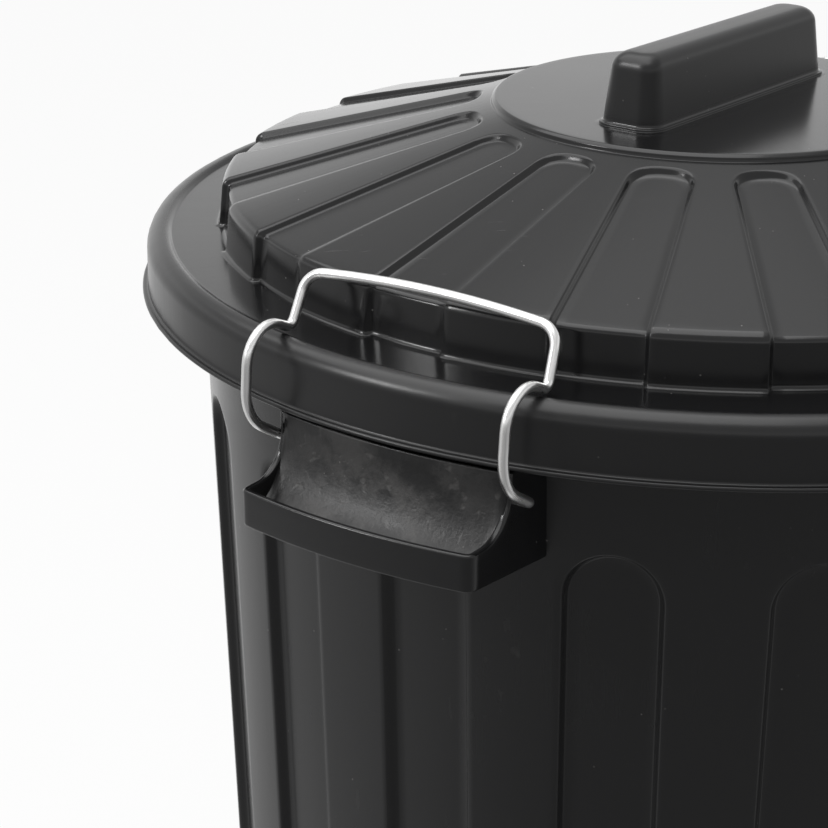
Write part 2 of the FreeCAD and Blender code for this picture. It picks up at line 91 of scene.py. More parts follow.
class TubSizes(bpy.types.PropertyGroup):
    """Sizes of the tub."""
    wall: length("Wall", "Thickness of the moulding", 0.0025)
    height: length("Height", "Level of the rim", TUB_HIGH.z)
    top_radius: length("Top radius", "Outside radius of the wall at the rim", 0.2332)
    flare: length("Flare", "How much wider the wall is at the rim than at the base", 0.016)
    rim_radius: length("Rim radius", "Outside radius of the turned-down rim", TUB_HIGH.y)
    rim_turn_down: length("Rim turn-down", "Height of the turned-down rim", 0.012)
    base_round: length("Base round", "Rounding of the base edge", 0.003)
    foot_width: length("Foot width", "Width of the foot ring", 0.008)
    floor_lift: length("Floor lift", "Height of the floor above the ground", 0.006)
    flutes: IntProperty(name="Flutes", description="Flutes round the wall", default=18, min=3)
    flute_width: length("Flute width", "Width of a flute between its edges", 0.0385)
    flute_depth: length("Flute depth", "Depth of a flute", 0.0045)
    flute_step: length("Flute step", "Half the width of the rounded step at a flute's edge", 0.0017)
    flute_top_drop: length("Flute top", "Distance of the arches below the rim", 0.065)
    flute_base_rise: length("Flute base", "Height of the lower arches", 0.045)


class GripSizes(bpy.types.PropertyGroup):
    """Sizes of the side grips."""
    reach: length("Reach", "Radius of the lip's outer face", TUB_HIGH.x)
    width: length("Width", "Width over the cheeks", 0.108)
    wall: length("Wall", "Thickness of cheeks and lip", 0.003)
    top: length("Top", "Level of the cheeks' top", 0.556)
    shoulder: length("Shoulder", "Reach of the cheeks' upright edge", 0.251)
    sweep: length("Sweep", "Radius of the hollow between upright edge and lip", 0.017)
    lip_top: length("Lip top", "Level of the lip's top edge", 0.5318)
    lip_height: length("Lip height", "Height of the lip", 0.0152)
    bottom_fall: length("Bottom fall", "How far the cheeks' bottom falls towards the tub", 0.005)
    corner: length("Corner", "Rounding of the upright corners", 0.004)
    edge: length("Edge", "Rounding of the wall's edges", 0.0011)
    pocket: length("Pocket", "Radius of the pocket's back", 0.2565)
    scoop: length("Scoop", "Height of the curve at the pocket's back", 0.032)
    fillet: length("Fillet", "Rounding between the pocket's floor and the cheeks", 0.003)
    root: length("Root", "Reach at which the cheeks end inside the tub's wall", 0.2242)


class LidSizes(bpy.types.PropertyGroup):
    """Sizes of the lid and its handle."""
    wall: length("Wall", "Thickness of the moulding", 0.0025)
    turn: degrees("Turn", "How far the lid lies turned from the clips", -3.8)
    lip_radius: length("Lip radius", "Outside radius of the lip", LID_HIGH.y)
    base: length("Base", "Level of the lid's lower edge", LID_LOW.z)
    top: length("Top", "Level of the handle's top", LID_HIGH.z)
    lip_reach: length("Lip reach", "How far the lip stands out from the skirt", 0.0025)
    lip_height: length("Lip height", "Height of the lip", 0.002)
    lip_round: length("Lip round", "Rounding of the lip's edges", 0.0009)
    skirt_drop: length("Skirt drop", "Height of the gutter above the lid's lower edge", 0.0247)
    skirt_draft: length("Skirt draft", "How much the skirt narrows upwards", 0.0003)
    bead_width: length("Bead width", "Width of the bead round the gutter", 0.0112)
    bead_rise: length("Bead rise", "Height of the bead above the gutter", 0.0018)
    bead_round: length("Bead round", "Rounding of the bead's outer side", 0.0075)
    bead_shoulder: length("Bead shoulder", "Width of the bead's inner slope", 0.002)
    gutter_width: length("Gutter width", "Width of the gutter", 0.0214)
    gutter_round: length("Gutter round", "Rounding at the foot of the dome", 0.0022)
    dome_draft: length("Dome draft", "How much the dome's wall narrows upwards", 0.002)
    dome_wall: length("Dome wall", "Height of the dome's wall", 0.0214)
    shoulder_round: length("Shoulder round", "Rounding at the top of the dome's wall", 0.005)
    recess_round: length("Recess round", "Rounding at the top of the dome's wall in a flute", 0.0028)
    cone: degrees("Cone", "Slope of the cone", 14.7)
    flutes: IntProperty(name="Flutes", description="Flutes round the cone", default=17, min=3)
    flute_depth: length("Flute depth", "Depth of a flute in the cone", 0.0026)
    flute_wall_depth: length("Flute wall depth", "Depth of a flute in the dome's wall", 0.003)
    flute_inner_width: length("Inner width", "Width of a flute at its inner end", 0.0265)
    flute_outer_width: length("Outer width", "Width of a flute at the dome's wall", 0.037)
    flute_step: length("Flute step", "Half the width of the rounded step at a flute's edge", 0.0012)
    flute_end: length("Flute end", "Length of a flute's rounded inner end", 0.0135)
    flute_gap: length("Flute gap", "Distance from the disc to the flutes' tips", 0.0072)
    disc_radius: length("Disc radius", "Radius of the raised disc", 0.101)
    disc_rise: length("Disc rise", "Height of the disc above the cone", 0.003)
    disc_round: length("Disc round", "Rounding of the disc's edge", 0.0016)
    disc_slope: length("Disc slope", "Width of the slope at the disc's edge", 0.0018)
    foot_length: length("Foot length", "Length of the handle's foot", 0.151)
    foot_width: length("Foot width", "Width of the handle's foot", 0.0325)
    foot_height: length("Foot height", "Height of the handle's foot", 0.0012)
    end_step: length("End step", "Width of the foot at the handle's ends", 0.0016)
    side_step: length("Side step", "Width of the foot at the handle's sides", 0.0016)
    handle_taper: degrees("Handle taper", "Slope of the handle's sides", 6.0)
    handle_corner: length("Handle corner", "Rounding of the handle's upright corners", 0.0095)
    handle_round: length("Handle round", "Rounding of the handle's top edge", 0.0072)


class ClipSizes(bpy.types.PropertyGroup):
    """Sizes of the wire clips."""
    wire: length("Wire", "Diameter of the wire", 0.0041)
    pin_side: length("Pin side", "Where the pins end inside the cheeks", 0.0495)
    arm_side: length("Arm side", "Sideways place of the arms", 0.0593)
    crossbar_side: length("Crossbar side", "Sideways place of the crossbar's corners", 0.0578)


class Finish(bpy.types.PropertyGroup):
    """Colours of the finishes."""
    plastic: colour("Plastic", "Black of the mouldings", (0.0065, 0.0065, 0.007))
    dust: colour("Dust", "Colour of dust and scuffs", (0.32, 0.31, 0.30))
    zinc: colour("Zinc", "Colour of the plated wire", (0.98, 0.977, 0.968))
    floor: colour("Floor", "Colour of the studio floor", (0.86, 0.86, 0.86))


class Studio(bpy.types.PropertyGroup):
    """Camera, lamps and cards of the studio."""
    camera_place: FloatVectorProperty(name="Camera place", description="Where the camera stands",
                                      default=(-0.8886, -0.4586, 0.8811), unit="LENGTH")
    heading: degrees("Heading", "Way the camera looks, from +X towards +Y", 35.1)
    pitch: degrees("Pitch", "How far the camera looks up", -21.8)
    lens: FloatProperty(name="Lens", description="Focal length in millimetres on a sensor 36 wide",
                        default=97.39, subtype="DISTANCE_CAMERA")
    floor_reach: length("Floor reach", "Half the floor's width", 60.0)
    card_start: length("Card start", "Where the dark card begins on the floor", 0.3)
    card_reach: length("Card reach", "Distance of the dark card's upright part", 2.6)
    card_height: length("Card height", "Height of the dark card", 5.8)
    card_spread: degrees("Card spread", "How far round the dark card goes on each side", 180.0)
    card_tone: FloatProperty(name="Card tone", description="Light from the front of the dark card", default=0.28)
    card_side_tone: FloatProperty(name="Card side tone", description="Light from the sides of the dark card",
                                  default=0.55)
    card_back_tone: FloatProperty(name="Card back tone", description="Light from the back of the dark card",
                                  default=1.2)
    card_top_tone: FloatProperty(name="Card top tone", description="Light from the card's upper half",
                                 default=0.6)
    lamp_size: length("Lamp size", "Width of the ceiling lamp", 2.2)
    lamp_place: FloatVectorProperty(name="Lamp place", description="Where the ceiling lamp hangs",
                                    default=(-0.3, 0.5, 2.3), unit="LENGTH")
    lamp_power: FloatProperty(name="Lamp power", description="Power of the ceiling lamp in watts", default=25.0)
    side_size: length("Side lamp size", "Width of the side lamp", 0.5)
    side_place: FloatVectorProperty(name="Side lamp place", description="Where the side lamp stands",
                                    default=(-1.71, 1.22, 1.68), unit="LENGTH")
    side_power: FloatProperty(name="Side lamp power", description="Power of the side lamp in watts", default=12.0)
    fill: FloatProperty(name="Fill", description="Light from all round on matt surfaces", default=0.4)


# Profiles and grids

def spread(count):
    """Shares along a straight run, with one close to each end, which keeps the shading flat between them."""
    near = min(0.04, 0.3 / count)
    if count < 3:
        return np.array([0, 1 - near])[:count]
    return np.concatenate([[0, near], np.linspace(0, 1, count - 1)[1:-1], [1 - near]])


def rounded(corners, radii, runs, turns):
    """Points along straight runs joined by arcs.

    Each corner with a radius is cut off where a circle of that radius touches both runs. Every run
    gives the stated number of steps and every arc the stated number of turns.
    """
    corners = np.asarray(corners, float)
    pieces = []
    reached = corners[0]
    for index in range(1, len(corners)):
        corner = corners[index]
        if index == len(corners) - 1 or radii[index] == 0:
            start = end = corner
            bend = None
        else:
            back = (corners[index - 1] - corner) / np.linalg.norm(corners[index - 1] - corner)
            ahead = (corners[index + 1] - corner) / np.linalg.norm(corners[index + 1] - corner)
            half = math.acos(np.clip(back @ ahead, -1, 1)) / 2
            start = corner + back * radii[index] / math.tan(half)
            end = corner + ahead * radii[index] / math.tan(half)
            inward = (back + ahead) / np.linalg.norm(back + ahead)
            centre = corner + inward * radii[index] / math.sin(half)
            bend = (start - centre, end - centre, math.pi - 2 * half)
        pieces.append(reached + (start - reached) * spread(runs[index - 1])[:, None])
        if bend is not None:
            first, last, angle = bend
            share = np.linspace(0, 1, turns[index], endpoint=False)[:, None]
            weights = np.sin((1 - share) * angle), np.sin(share * angle)
            pieces.append(centre + (first * weights[0] + last * weights[1]) / math.sin(angle))
        reached = end
    pieces.append(reached[None, :])
    return np.concatenate(pieces)


def offset_inwards(profile, wall):
    """Moves each point of a profile by the wall, square to the profile and to its right-hand side."""
    tangent = np.gradient(profile, axis=0)
    tangent /= np.linalg.norm(tangent, axis=1, keepdims=True)
    return profile - wall * np.column_stack([-tangent[:, 1], tangent[:, 0]])


def across_flute(edge, reach, band):
    """Distances from a flute's middle: over its floor, across its step, and over the land to the reach."""
    edge, reach = edge[..., None], reach[..., None]
    floor = (edge - band) * FLOOR_SHARES
    step = edge + band * BAND_SHARES
    land = edge + band + (reach - edge - band) * LAND_SHARES
    return np.concatenate([floor, step, land], axis=-1)


def both_sides(distances):
    return np.concatenate([-distances[..., :0:-1], distances], axis=-1)


def flute_end(radius, slope, half_pitch, edge, end, power, depth, band, side_rays, top_rays):
    """A fan of points round a flute's rounded end, in flat coordinates across and along the flute.

    Rays leave the point where the straight part ends. The flute's edge along a ray is a superellipse
    with the half width edge and the length end; the fan ends at the panel's sides, half a pitch away
    where the radius changes by slope along the flute, and at a line at the given depth.
    """
    side = half_pitch * (radius + slope * depth)
    corner = math.atan2(depth, side)
    quarter = np.concatenate([
        np.linspace(0, corner, side_rays, endpoint=False), np.linspace(corner, math.pi / 2, top_rays)])
    angle = np.concatenate([quarter, math.pi - quarter[-2::-1]])
    cosine, sine = np.cos(angle), np.sin(angle)
    shape = (np.abs(cosine / edge) ** power + np.abs(sine / end) ** power) ** (-1 / power)
    to_side = half_pitch * radius / np.maximum(np.abs(cosine) - half_pitch * slope * sine, 1e-9)
    to_line = depth / np.maximum(sine, 1e-9)
    distance = across_flute(shape, np.minimum(to_side, to_line), band)
    top = slice(side_rays, len(angle) - side_rays)
    return distance * cosine[:, None], distance * sine[:, None], top


def ring_of(centres, angle, radius, level):
    """Repeats a panel round the Z axis: angle, radius and level of its points, at each centre."""
    angle, radius, level = np.broadcast_arrays(angle, radius, level)
    turned = centres[:, None, None] + angle
    return np.stack([radius * np.cos(turned), radius * np.sin(turned),
                     np.broadcast_to(level, turned.shape)], axis=-1)


def racetrack(half_length, half_width, corner, share):
    """The point at a share of the way round a rectangle with rounded corners, from the middle of its +X end."""
    corner = min(corner, half_width, half_length)
    turn = np.linspace(0, math.pi / 2, 10)
    arcs = [(sign_x * (half_length - corner), sign_y * (half_width - corner), start)
            for sign_x, sign_y, start in ((1, 1, 0), (-1, 1, 1), (-1, -1, 2), (1, -1, 3))]
    around = [x + corner * np.cos(turn + start * math.pi / 2) for x, y, start in arcs]
    beside = [y + corner * np.sin(turn + start * math.pi / 2) for x, y, start in arcs]
    x = np.concatenate([[half_length], *around, [half_length]])
    y = np.concatenate([[0], *beside, [0]])
    way = np.concatenate([[0], np.cumsum(np.hypot(np.diff(x), np.diff(y)))])
    return np.interp(share * way[-1], way, x), np.interp(share * way[-1], way, y)


def mesh_piece(name, grids, caps=()):
    """An object made of grids of points, shaped (..., rows, columns, 3), whose shared edges are merged.

    Caps are closed rings of points, each filled with one face.
    """
    points, faces, count = [], [], 0
    for grid in grids:
        rows, columns = grid.shape[-3:-1]
        index = np.arange(rows * columns).reshape(rows, columns)
        quads = np.stack([index[:-1, :-1], index[:-1, 1:], index[1:, 1:], index[1:, :-1]], axis=-1)
        panels = grid.reshape(-1, rows * columns, 3)
        starts = count + np.arange(len(panels)) * rows * columns
        faces.append((starts[:, None, None] + quads.reshape(1, -1, 4)).reshape(-1, 4))
        points.append(panels.reshape(-1, 3))
        count += len(points[-1])
    faces = np.concatenate(faces).tolist()
    for ring in caps:
        faces.append(list(range(count, count + len(ring))))
        points.append(ring)
        count += len(ring)
    mesh = bpy.data.meshes.new(name)
    mesh.from_pydata(np.concatenate(points), [], faces)
    edited = bmesh.new()
    edited.from_mesh(mesh)
    bmesh.ops.remove_doubles(edited, verts=edited.verts, dist=MERGE_GAP)
    bmesh.ops.dissolve_degenerate(edited, edges=edited.edges, dist=MERGE_GAP)
    bmesh.ops.recalc_face_normals(edited, faces=edited.faces)
    if edited.calc_volume(signed=True) < 0:
        bmesh.ops.reverse_faces(edited, faces=edited.faces)
    open_edges = sum(1 for edge in edited.edges if len(edge.link_faces) != 2)
    edited.to_mesh(mesh)
    edited.free()
    mesh.shade_smooth()
    if open_edges:
        raise RuntimeError(f"{name} has {open_edges} open edges")
    piece = bpy.data.objects.new(name, mesh)
    bpy.context.scene.collection.objects.link(piece)
    return piece


# Tub

def tub_grids(size):
    """Grids of the tub: the fluted wall outside and inside, the rim, the foot ring and the floor.

    The wall's radius grows evenly with height; in a flute it is less by the flute's depth, with a
    smooth step along the flute's edge. Each flute is a straight panel between two fans.
    """
    wall = size.wall
    half = size.flute_width / 2
    pitch = math.pi / size.flutes
    draft = size.flare / size.height
    centres = math.pi + np.arange(size.flutes) * 2 * pitch
    margin = 2 * size.flute_step + 0.005

    def radius(level):
        return size.top_radius - size.flare + draft * level

    grids = []
    lines = {}
    upper = size.height - size.flute_top_drop - half
    lower = size.flute_base_rise + half
    for start, direction in ((upper, 1), (lower, -1)):
        x, y, top = flute_end(radius(start), draft * direction, pitch, half, half, 2.0, half + margin,
                              size.flute_step, 5, 9)
        level = start + direction * y
        lines[direction] = (level[top, -1][0], x[top, -1] / radius(level[top, -1]))
        for inset in (0, wall):
            grids.append(ring_of(centres, x / radius(level), radius(level) - inset
                                 - size.flute_depth * DEPTH_SHARES, level))
    level = np.linspace(lower, upper, 13)[:, None]
    across = both_sides(across_flute(np.full(13, half), pitch * radius(level[:, 0]), size.flute_step))
    depth = size.flute_depth * np.concatenate([DEPTH_SHARES[:0:-1], DEPTH_SHARES])
    for inset in (0, wall):
        grids.append(ring_of(centres, across / radius(level), radius(level) - inset - depth, level))

    floor_top = size.floor_lift + wall
    foot_inside = radius(0) - size.foot_width
    rim_under = size.height - wall
    rim_inside = size.rim_radius - wall
    rim_edge = size.height - size.rim_turn_down
    top_level, top_angles = lines[1]
    base_level, base_angles = lines[-1]
    edge = wall / 3
    rim = rounded(
        [(radius(top_level), top_level), (radius(rim_under), rim_under), (rim_inside, rim_under),
         (rim_inside, rim_edge), (size.rim_radius, rim_edge), (size.rim_radius, size.height),
         (radius(size.height) - wall, size.height), (radius(top_level) - wall, top_level)],
        [0, 2 * edge, 2 * edge, edge, edge, wall, 1.5 * edge, 0], [4, 2, 2, 1, 2, 2, 4],
        [0, 4, 4, 3, 3, 5, 4, 0])
    under = rounded(
        [(radius(base_level), base_level), (radius(0), 0), (foot_inside, 0),
         (foot_inside, size.floor_lift), (0, size.floor_lift)],
        [0, size.base_round, edge, edge, 0], [3, 2, 2, 6], [0, 5, 3, 3, 0])
    inside = rounded(
        [(radius(base_level) - wall, base_level), (radius(floor_top) - wall, floor_top), (0, floor_top)],
        [0, 2 * size.base_round, 0], [3, 8], [0, 6, 0])
    for profile, angles in ((rim, top_angles), (under, base_angles), (inside, base_angles)):
        grids.append(ring_of(centres, angles[None, :], profile[:, :1], profile[:, 1:]))
    return grids


# Side grips

def grip_grids(size, tub_size, side):
    """Grids and end caps of one grip: a wall bent round three sides, and the scooped tray inside it.

    The wall's top edge falls from the cheeks' shoulders along a quarter circle to the lip. The wall
    is the band between that edge and its bottom, carried along its plan with rounded edges. The
    tray is one profile whose points keep their distance from the bin's axis across the grip. Its back
    runs down to the lip along a quarter ellipse, and rises along a quarter circle next to the cheeks.
    """
    half = size.width / 2
    corner_side = half - size.corner
    corner_reach = math.sqrt((size.reach - size.corner) ** 2 - corner_side ** 2)
    lip_angle = math.atan2(corner_side, corner_reach)
    turn = np.linspace(math.pi / 2, lip_angle, 9)[1:]
    sweep = np.linspace(lip_angle, -lip_angle, 41)[1:]
    plan_x = np.concatenate([[size.root, corner_reach], corner_reach + size.corner * np.cos(turn),
                             size.reach * np.cos(sweep)])
    plan_y = np.concatenate([[half, half], corner_side + size.corner * np.sin(turn), size.reach * np.sin(sweep)])
    keep = plan_y >= -1e-9
    plan_x = np.concatenate([plan_x[keep], plan_x[keep][-2::-1]])
    plan_y = np.concatenate([plan_y[keep], -plan_y[keep][-2::-1]])
    way = np.concatenate([[0], np.cumsum(np.hypot(np.diff(plan_x), np.diff(plan_y)))])
    middle = way[-1] / 2
    shoulder_way = size.shoulder - size.root
    lip_bottom = size.lip_top - size.lip_height

    edge = rounded([(0, size.top), (shoulder_way, size.top), (shoulder_way, size.lip_top),
                    (middle, size.lip_top)], [0, size.edge, size.sweep, 0], [6, 3, 36], [0, 5, 14, 0])
    slope = np.gradient(edge, axis=0)
    slope /= np.linalg.norm(slope, axis=1, keepdims=True)
    normal = np.column_stack([-slope[:, 1], slope[:, 0]])
    mirrored = edge[-2::-1] * [-1, 1] + [2 * middle, 0]
    edge = np.concatenate([edge, mirrored])
    normal = np.concatenate([normal, normal[-2::-1] * [-1, 1]])
    run_out = corner_reach - size.root
    fall = np.clip(1 - np.minimum(edge[:, 0], 2 * middle - edge[:, 0]) / run_out, 0, 1)
    bottom = np.column_stack([edge[:, 0], lip_bottom - size.bottom_fall * fall])

    tight = size.edge
    arc = np.linspace(0, math.pi / 2, 6)
    upper, lower = edge - tight * normal, bottom + [0, tight]
    rise = np.linspace(0, 1, 5)[1:-1]
    loop = []
    for share in rise:
        loop.append((lower + (upper - lower) * share, 0))
    for angle in arc:
        loop.append((upper + tight * normal * math.sin(angle), tight * (1 - math.cos(angle))))
    for angle in arc[::-1]:
        loop.append((upper + tight * normal * math.sin(angle), size.wall - tight * (1 - math.cos(angle))))
    for share in rise[::-1]:
        loop.append((lower + (upper - lower) * share, size.wall))
    for angle in arc:
        loop.append((lower - [0, tight * math.sin(angle)], size.wall - tight * (1 - math.cos(angle))))
    for angle in arc[::-1]:
        loop.append((lower - [0, tight * math.sin(angle)], tight * (1 - math.cos(angle))))
    loop.append(loop[0])
    along = np.stack([line[:, 0] for line, inset in loop], axis=1)
    level = np.stack([line[:, 1] for line, inset in loop], axis=1)
    inset = np.array([inset for line, inset in loop])
    near = np.full(along.shape, 1e-5)
    direction_x = np.interp(along + near, way, plan_x) - np.interp(along - near, way, plan_x)
    direction_y = np.interp(along + near, way, plan_y) - np.interp(along - near, way, plan_y)
    size_of = np.hypot(direction_x, direction_y)
    x = np.interp(along, way, plan_x) + inset * direction_y / size_of
    y = np.interp(along, way, plan_y) - inset * direction_x / size_of
    bent_wall = np.stack([side * x, side * y, level], axis=-1)

    floor = lip_bottom + tub_size.wall
    under = lip_bottom + tight
    behind = tub_size.top_radius - tub_size.flare * (1 - size.top / tub_size.height) - 0.6 * tub_size.wall
    front = size.reach - size.wall / 2
    hollow = size.pocket - tub_size.wall
    hollow_top = size.top - tub_size.wall
    scoop_turn = np.linspace(0, math.pi / 2, 27)[1:]
    scoop = np.column_stack([front - (front - size.pocket) * np.cos(scoop_turn),
                             floor + size.scoop * (1 - np.sin(scoop_turn))])
    top_edge = rounded([(behind, size.top), (size.pocket, size.top), (size.pocket, floor + size.scoop)],
                       [0, tight, 0], [3, 2], [0, 4, 0])
    seen = np.concatenate([top_edge, scoop])
    hidden = rounded([(front, under), (hollow, under), (hollow, hollow_top), (behind, hollow_top)],
                     [0, size.scoop * 0.7, tight, 0], [1, 3, 2], [0, 12, 3, 0])
    sideways = np.linspace(-1, 1, 61) * (half - size.wall / 2)
    near_cheek = np.clip((np.abs(sideways) - half + size.wall + size.fillet) / size.fillet, 0, 1)
    lift = size.fillet * (1 - np.sqrt(1 - near_cheek ** 2))
    low = np.clip(2 * (size.top - seen[:, 1:]) / (size.top - floor), 0, 1)
    tray_r = np.concatenate([seen[:, :1], hidden[:, :1]]) + 0 * sideways
    tray_z = np.concatenate([seen[:, 1:] + low * lift, hidden[:, 1:] + 0 * sideways])
    tray_r, tray_z = np.concatenate([tray_r, tray_r[:1]]), np.concatenate([tray_z, tray_z[:1]])
    scooped = np.stack([side * np.sqrt(tray_r ** 2 - sideways ** 2), side * sideways + 0 * tray_z, tray_z],
                       axis=-1)
    caps = [bent_wall[0, :-1], bent_wall[-1, :-1], scooped[:-1, 0], scooped[:-1, -1]]
    return [bent_wall, scooped], caps


# Lid

def lid_grids(size):
    """Grids of the lid, outside and inside: cone, flutes, dome wall, gutter, bead, skirt, lip, disc, handle.

    The surface lies between a raised and a recessed profile, both turned about the Z axis: it is
    the recessed one in a flute, the raised one beside it, and a smooth step between them.
    """
    wall = size.wall
    cone = math.tan(size.cone)
    square = math.cos(size.cone)
    pitch = math.pi / size.flutes
    centres = math.pi + size.turn + np.arange(size.flutes) * 2 * pitch
    gutter = size.base + size.skirt_drop
    ledge = size.base + size.lip_height
    skirt = size.lip_radius - size.lip_reach
    bead_outside = skirt - size.skirt_draft
    bead_inside = bead_outside - size.bead_width
    bead_top = gutter + size.bead_rise
    dome = bead_inside - size.gutter_width
    shoulder = dome - size.dome_draft
    shoulder_level = gutter + size.dome_wall
    disc_base = shoulder_level + (shoulder - size.disc_radius) * cone
    disc_top = disc_base + size.disc_rise
    lean = size.dome_draft / size.dome_wall
    sunk = size.flute_depth / square

    def cone_level(radius):
        return shoulder_level + (shoulder - radius) * cone

    # The fan's middle, and the recessed dome wall's corner where it meets the lowered cone.
    half_inner = size.flute_inner_width / 2
    half_outer = size.flute_outer_width / 2
    middle = size.disc_radius + size.flute_gap + size.flute_end
    recess = dome - size.flute_wall_depth
    recess_level = (cone_level(recess + lean * gutter) - sunk) / (1 - cone * lean)
    recess_shoulder = recess - lean * (recess_level - gutter)
    bead_slope = (bead_inside + size.bead_shoulder, bead_top)
    rest = [bead_slope, (bead_outside, bead_top), (skirt, ledge), (size.lip_radius, ledge),
            (size.lip_radius, size.base), (bead_outside - wall, size.base)]
    radii = [0, size.shoulder_round, size.gutter_round, size.gutter_round / 4, size.bead_round / 2,
             size.bead_round, 1.2 * size.lip_round, size.lip_round, size.lip_round, 0]
    runs = [7, 3, 3, 1, 1, 3, 1, 1, 1]
    turns = [0, 8, 5, 3, 5, 10, 4, 4, 4, 0]
    raised = rounded([(middle, cone_level(middle)), (shoulder, shoulder_level), (dome, gutter),
                      (bead_inside, gutter)] + rest, radii, runs, turns)
    recessed = rounded([(middle, cone_level(middle) - sunk), (recess_shoulder, recess_level),
                        (recess, gutter), (bead_inside, gutter)] + rest,
                       [0, size.recess_round] + radii[2:], runs, turns)

    def inner(profile):
        moved = offset_inwards(profile, wall)
        lip = profile[:, 1] <= ledge + 1.3 * size.lip_round
        moved[lip, 0] = bead_outside - wall
        moved[lip, 1] = np.linspace(moved[~lip][-1, 1], size.base, lip.sum() + 1)[1:]
        return moved

    grids = []
    x, y, top = flute_end(middle, -1.0, pitch, half_inner, size.flute_end, 2.5,
                          size.flute_end + size.flute_gap * 0.6, size.flute_step, 6, 10)
    radius = middle - y
    level = cone_level(radius) - sunk * DEPTH_SHARES
    angle = x / radius
    grids.append(ring_of(centres, angle, radius, level))
    grids.append(ring_of(centres, angle, radius - wall * math.sin(size.cone), level - wall * square))
    top_radius = radius[top, -1][0]
    top_angles = angle[top, -1]

    widening = np.clip((raised[:, 0] - middle) / (dome - middle), 0, 1)
    edge = half_inner + (half_outer - half_inner) * widening
    across = both_sides(across_flute(edge, pitch * raised[:, 0], size.flute_step))
    angle = across / raised[:, :1]
    share = np.concatenate([DEPTH_SHARES[:0:-1], DEPTH_SHARES])
    for high, low in ((raised, recessed), (inner(raised), inner(recessed))):
        grids.append(ring_of(centres, angle, high[:, :1] + (low - high)[:, :1] * share,
                             high[:, 1:] + (low - high)[:, 1:] * share))

    # Rings from the flutes' tips over the disc's edge to the flat of the disc.
    flat = size.disc_radius - size.disc_slope - 2 * size.disc_round
    disc = rounded(
        [(top_radius, cone_level(top_radius)), (size.disc_radius, disc_base),
         (size.disc_radius - size.disc_slope / 6, disc_base + size.disc_rise * 0.6),
         (size.disc_radius - size.disc_slope, disc_top), (flat, disc_top)],
        [0, size.disc_rise / 6, size.disc_round / 2, size.disc_round, 0], [2, 1, 1, 2], [0, 3, 5, 5, 0])
    inner_disc = offset_inwards(disc[::-1], wall)[::-1]
    inner_disc[0] = [top_radius - wall * math.sin(size.cone), cone_level(top_radius) - wall * square]
    for profile in (disc, inner_disc):
        grids.append(ring_of(centres, top_angles[None, :], profile[:, :1], profile[:, 1:]))

    # The handle: rings from the disc's flat to the foot's outline, up the foot and the block, and over the top.
    foot_top = disc_top + size.foot_height
    foot_lean = size.foot_height / 10
    inside_top, inside_base = size.top - wall, disc_top - wall
    lean = math.tan(size.handle_taper)

    def outside_of(step):
        return rounded(
            [(-0.002, disc_top), (0, disc_top), (foot_lean, foot_top), (step, foot_top),
             (step + (size.top - foot_top) * lean, size.top), (half_width * 0.9, size.top)],
            [0, size.foot_height / 6, size.foot_height / 3, size.foot_height * 0.8, size.handle_round, 0],
            [1, 2, 1, 6, 1], [0, 3, 5, 3, 8, 0])

    def inside_of(step):
        return rounded(
            [(-0.002, inside_base), (step + wall, inside_base),
             (step + wall + (inside_top - inside_base) * lean, inside_top), (half_width * 0.9, inside_top)],
            [0, wall / 3, wall / 3, 0], [2, 6, 1], [0, 4, 4, 0])

    half_length, half_width = size.foot_length / 2, size.foot_width / 2
    turned = (centres[:, None] + top_angles - size.turn) / (2 * math.pi) % 1.0
    seam = np.isclose(turned, 1.0)
    turned[seam] = 0.0
    for profile_of, flat_ring in ((outside_of, disc), (inside_of, inner_disc)):
        in_end, in_side = profile_of(size.end_step), profile_of(size.side_step)
        rows = [ring_of(centres, top_angles[None, :], flat_ring[-1:, :1], flat_ring[-1:, 1:])]
        shapes = [(half_length - e[0], half_width - s[0], max(size.handle_corner - max(s[0], 0) / 2, wall), s[1])
                  for e, s in zip(in_end, in_side)]
        last = shapes[-1]
        shapes.append((last[0] - last[1], 0.0, 0.0, last[3]))
        for row_length, row_width, corner, row_level in shapes:
            ring_x, ring_y = racetrack(row_length, max(row_width, 0.0), corner, turned)
            turn_x = ring_x * math.cos(size.turn) - ring_y * math.sin(size.turn)
            turn_y = ring_x * math.sin(size.turn) + ring_y * math.cos(size.turn)
            rows.append(np.stack([turn_x, turn_y, np.full_like(turn_x, row_level)], axis=-1)[:, None])
        grids.append(np.concatenate(rows, axis=1))
    return grids


# Wire clips

def wire_points(size, side):
    """The wire's middle line, from one pin over the lid's edge to the other: corners with bends cut in."""
    pivot_reach, pivot_level = abs(PIVOT[0]), PIVOT[2]
    rim = TUB_HIGH.z
    half = [
        ((pivot_reach, size.pin_side, pivot_level), 0.0),
        ((pivot_reach, size.arm_side, pivot_level), 0.0037),
        ((0.2658, size.arm_side, rim - 0.024), 0.020),
        ((0.2620, size.arm_side, rim + 0.0178), 0.014),
        ((0.2357, size.arm_side, rim + 0.0050), 0.0037),
        ((0.2264, size.crossbar_side, rim + 0.026), 0.009),
        ((0.2252, 0.0, rim + 0.031), 0.52),
    ]
    other = [((x, -y, z), bend) for (x, y, z), bend in half[-2::-1]]
    corners = np.array([point for point, bend in half + other]) * [side, side, 1]
    bends = [bend for point, bend in half + other]
    count = len(corners)
    return rounded(corners, bends, [4] * (count - 1), [10] * count)


